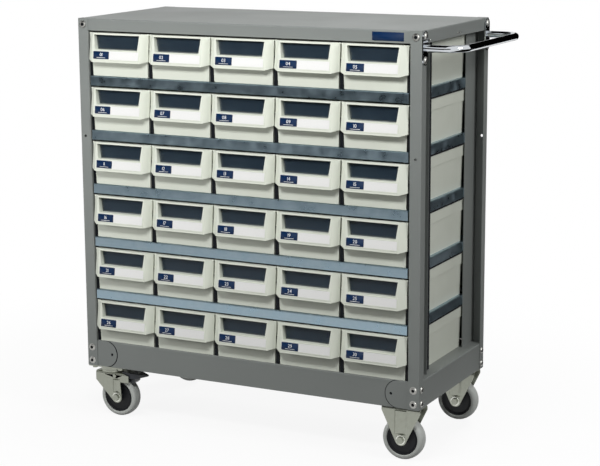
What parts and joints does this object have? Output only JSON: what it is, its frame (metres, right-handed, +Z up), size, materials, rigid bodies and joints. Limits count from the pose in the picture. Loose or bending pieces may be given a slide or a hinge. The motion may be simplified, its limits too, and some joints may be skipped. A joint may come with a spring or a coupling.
{
  "type": "mobile drawer cabinet",
  "caption": "Mobile drawer cabinet: folded steel frame on casters, bin drawers with windows and labels, and a push handle at one end.",
  "frame": {"origin": "on the floor, under the middle of the part's outline", "axes": "+Z up; -Y towards the drawers' fronts; +X towards the push handle"},
  "size_m": [0.975, 0.419, 0.974],
  "materials": {
    "powder_coat": "satin grey powder coat",
    "zinc_sheet": "zinc-plated sheet",
    "bin_plastic": "moulded off-white plastic",
    "window": "clear plastic pane",
    "card": "white card",
    "tag_blue": "printed blue",
    "chrome": "polished chrome plate",
    "nickel": "nickel-plated screws",
    "zinc": "zinc-plated pressed steel",
    "black_steel": "black painted steel",
    "hub_plastic": "black nylon",
    "tyre_rubber": "grey non-marking rubber"
  },
  "bodies": {
    "cabinet": {"top_cover": "powder_coat", "base_tray": "powder_coat", "back_panel": "powder_coat", "corner_gussets": "powder_coat", "post_front_right": "powder_coat", "post_front_left": "powder_coat", "post_rear_right": "powder_coat", "post_rear_left": "powder_coat", "push_handle": "chrome", "screws": "nickel", "swivel_plates": "zinc", "fixed_bracket_front": "zinc", "fixed_bracket_rear": "zinc", "shelf_1": "zinc_sheet", "shelf_2": "zinc_sheet", "shelf_3": "zinc_sheet", "shelf_4": "zinc_sheet", "shelf_5": "zinc_sheet"},
    "fork_front": {"swivel_fork_front": "zinc"},
    "pedal_front": {"brake_pedal_front": "black_steel"},
    "fork_rear": {"swivel_fork_rear": "zinc"},
    "pedal_rear": {"brake_pedal_rear": "black_steel"},
    "wheel_front_left": {"hub_front_left": "hub_plastic", "tyre_front_left": "tyre_rubber"},
    "wheel_front_right": {"hub_front_right": "hub_plastic", "tyre_front_right": "tyre_rubber"},
    "wheel_rear_left": {"hub_rear_left": "hub_plastic", "tyre_rear_left": "tyre_rubber"},
    "wheel_rear_right": {"hub_rear_right": "hub_plastic", "tyre_rear_right": "tyre_rubber"},
    "drawer_1_1": {"drawer_1_1": "bin_plastic"},
    "drawer_1_2": {"drawer_1_2": "bin_plastic"},
    "drawer_1_3": {"drawer_1_3": "bin_plastic"},
    "drawer_1_4": {"drawer_1_4": "bin_plastic"},
    "drawer_1_5": {"drawer_1_5": "bin_plastic"},
    "drawer_2_1": {"drawer_2_1": "bin_plastic"},
    "drawer_2_2": {"drawer_2_2": "bin_plastic"},
    "drawer_2_3": {"drawer_2_3": "bin_plastic"},
    "drawer_2_4": {"drawer_2_4": "bin_plastic"},
    "drawer_2_5": {"drawer_2_5": "bin_plastic"},
    "drawer_3_1": {"drawer_3_1": "bin_plastic"},
    "drawer_3_2": {"drawer_3_2": "bin_plastic"},
    "drawer_3_3": {"drawer_3_3": "bin_plastic"},
    "drawer_3_4": {"drawer_3_4": "bin_plastic"},
    "drawer_3_5": {"drawer_3_5": "bin_plastic"},
    "drawer_4_1": {"drawer_4_1": "bin_plastic"},
    "drawer_4_2": {"drawer_4_2": "bin_plastic"},
    "drawer_4_3": {"drawer_4_3": "bin_plastic"},
    "drawer_4_4": {"drawer_4_4": "bin_plastic"},
    "drawer_4_5": {"drawer_4_5": "bin_plastic"},
    "drawer_5_1": {"drawer_5_1": "bin_plastic"},
    "drawer_5_2": {"drawer_5_2": "bin_plastic"},
    "drawer_5_3": {"drawer_5_3": "bin_plastic"},
    "drawer_5_4": {"drawer_5_4": "bin_plastic"},
    "drawer_5_5": {"drawer_5_5": "bin_plastic"},
    "drawer_6_1": {"drawer_6_1": "bin_plastic"},
    "drawer_6_2": {"drawer_6_2": "bin_plastic"},
    "drawer_6_3": {"drawer_6_3": "bin_plastic"},
    "drawer_6_4": {"drawer_6_4": "bin_plastic"},
    "drawer_6_5": {"drawer_6_5": "bin_plastic"}
  },
  "joints": [
    {"name": "swivel_front", "type": "hinge", "parent": "cabinet", "child": "fork_front", "pos_m": [-0.4355, -0.1585, 0.11], "axis": [0, 0, 1], "continuous": true},
    {"name": "brake_front", "type": "hinge", "parent": "fork_front", "child": "pedal_front", "pos_m": [-0.4165, -0.1585, 0.1035], "axis": [0, 1, 0], "range_deg": [0, 6]},
    {"name": "swivel_rear", "type": "hinge", "parent": "cabinet", "child": "fork_rear", "pos_m": [-0.4355, 0.1715, 0.11], "axis": [0, 0, 1], "continuous": true},
    {"name": "brake_rear", "type": "hinge", "parent": "fork_rear", "child": "pedal_rear", "pos_m": [-0.4165, 0.1715, 0.1035], "axis": [0, 1, 0], "range_deg": [0, 6]},
    {"name": "roll_front_left", "type": "hinge", "parent": "fork_front", "child": "wheel_front_left", "pos_m": [-0.4125, -0.1585, 0.05], "axis": [0, 1, 0], "continuous": true},
    {"name": "roll_front_right", "type": "hinge", "parent": "cabinet", "child": "wheel_front_right", "pos_m": [0.3455, -0.1585, 0.05], "axis": [0, 1, 0], "continuous": true},
    {"name": "roll_rear_left", "type": "hinge", "parent": "fork_rear", "child": "wheel_rear_left", "pos_m": [-0.4125, 0.1715, 0.05], "axis": [0, 1, 0], "continuous": true},
    {"name": "roll_rear_right", "type": "hinge", "parent": "cabinet", "child": "wheel_rear_right", "pos_m": [0.3455, 0.1715, 0.05], "axis": [0, 1, 0], "continuous": true},
    {"name": "slide_1_1", "type": "slide", "parent": "cabinet", "child": "drawer_1_1", "axis": [0, -1, 0], "range_m": [0, 0.28]},
    {"name": "slide_1_2", "type": "slide", "parent": "cabinet", "child": "drawer_1_2", "axis": [0, -1, 0], "range_m": [0, 0.28]},
    {"name": "slide_1_3", "type": "slide", "parent": "cabinet", "child": "drawer_1_3", "axis": [0, -1, 0], "range_m": [0, 0.28]},
    {"name": "slide_1_4", "type": "slide", "parent": "cabinet", "child": "drawer_1_4", "axis": [0, -1, 0], "range_m": [0, 0.28]},
    {"name": "slide_1_5", "type": "slide", "parent": "cabinet", "child": "drawer_1_5", "axis": [0, -1, 0], "range_m": [0, 0.28]},
    {"name": "slide_2_1", "type": "slide", "parent": "cabinet", "child": "drawer_2_1", "axis": [0, -1, 0], "range_m": [0, 0.28]},
    {"name": "slide_2_2", "type": "slide", "parent": "cabinet", "child": "drawer_2_2", "axis": [0, -1, 0], "range_m": [0, 0.28]},
    {"name": "slide_2_3", "type": "slide", "parent": "cabinet", "child": "drawer_2_3", "axis": [0, -1, 0], "range_m": [0, 0.28]},
    {"name": "slide_2_4", "type": "slide", "parent": "cabinet", "child": "drawer_2_4", "axis": [0, -1, 0], "range_m": [0, 0.28]},
    {"name": "slide_2_5", "type": "slide", "parent": "cabinet", "child": "drawer_2_5", "axis": [0, -1, 0], "range_m": [0, 0.28]},
    {"name": "slide_3_1", "type": "slide", "parent": "cabinet", "child": "drawer_3_1", "axis": [0, -1, 0], "range_m": [0, 0.28]},
    {"name": "slide_3_2", "type": "slide", "parent": "cabinet", "child": "drawer_3_2", "axis": [0, -1, 0], "range_m": [0, 0.28]},
    {"name": "slide_3_3", "type": "slide", "parent": "cabinet", "child": "drawer_3_3", "axis": [0, -1, 0], "range_m": [0, 0.28]},
    {"name": "slide_3_4", "type": "slide", "parent": "cabinet", "child": "drawer_3_4", "axis": [0, -1, 0], "range_m": [0, 0.28]},
    {"name": "slide_3_5", "type": "slide", "parent": "cabinet", "child": "drawer_3_5", "axis": [0, -1, 0], "range_m": [0, 0.28]},
    {"name": "slide_4_1", "type": "slide", "parent": "cabinet", "child": "drawer_4_1", "axis": [0, -1, 0], "range_m": [0, 0.28]},
    {"name": "slide_4_2", "type": "slide", "parent": "cabinet", "child": "drawer_4_2", "axis": [0, -1, 0], "range_m": [0, 0.28]},
    {"name": "slide_4_3", "type": "slide", "parent": "cabinet", "child": "drawer_4_3", "axis": [0, -1, 0], "range_m": [0, 0.28]},
    {"name": "slide_4_4", "type": "slide", "parent": "cabinet", "child": "drawer_4_4", "axis": [0, -1, 0], "range_m": [0, 0.28]},
    {"name": "slide_4_5", "type": "slide", "parent": "cabinet", "child": "drawer_4_5", "axis": [0, -1, 0], "range_m": [0, 0.28]},
    {"name": "slide_5_1", "type": "slide", "parent": "cabinet", "child": "drawer_5_1", "axis": [0, -1, 0], "range_m": [0, 0.28]},
    {"name": "slide_5_2", "type": "slide", "parent": "cabinet", "child": "drawer_5_2", "axis": [0, -1, 0], "range_m": [0, 0.28]},
    {"name": "slide_5_3", "type": "slide", "parent": "cabinet", "child": "drawer_5_3", "axis": [0, -1, 0], "range_m": [0, 0.28]},
    {"name": "slide_5_4", "type": "slide", "parent": "cabinet", "child": "drawer_5_4", "axis": [0, -1, 0], "range_m": [0, 0.28]},
    {"name": "slide_5_5", "type": "slide", "parent": "cabinet", "child": "drawer_5_5", "axis": [0, -1, 0], "range_m": [0, 0.28]},
    {"name": "slide_6_1", "type": "slide", "parent": "cabinet", "child": "drawer_6_1", "axis": [0, -1, 0], "range_m": [0, 0.28]},
    {"name": "slide_6_2", "type": "slide", "parent": "cabinet", "child": "drawer_6_2", "axis": [0, -1, 0], "range_m": [0, 0.28]},
    {"name": "slide_6_3", "type": "slide", "parent": "cabinet", "child": "drawer_6_3", "axis": [0, -1, 0], "range_m": [0, 0.28]},
    {"name": "slide_6_4", "type": "slide", "parent": "cabinet", "child": "drawer_6_4", "axis": [0, -1, 0], "range_m": [0, 0.28]},
    {"name": "slide_6_5", "type": "slide", "parent": "cabinet", "child": "drawer_6_5", "axis": [0, -1, 0], "range_m": [0, 0.28]}
  ]
}
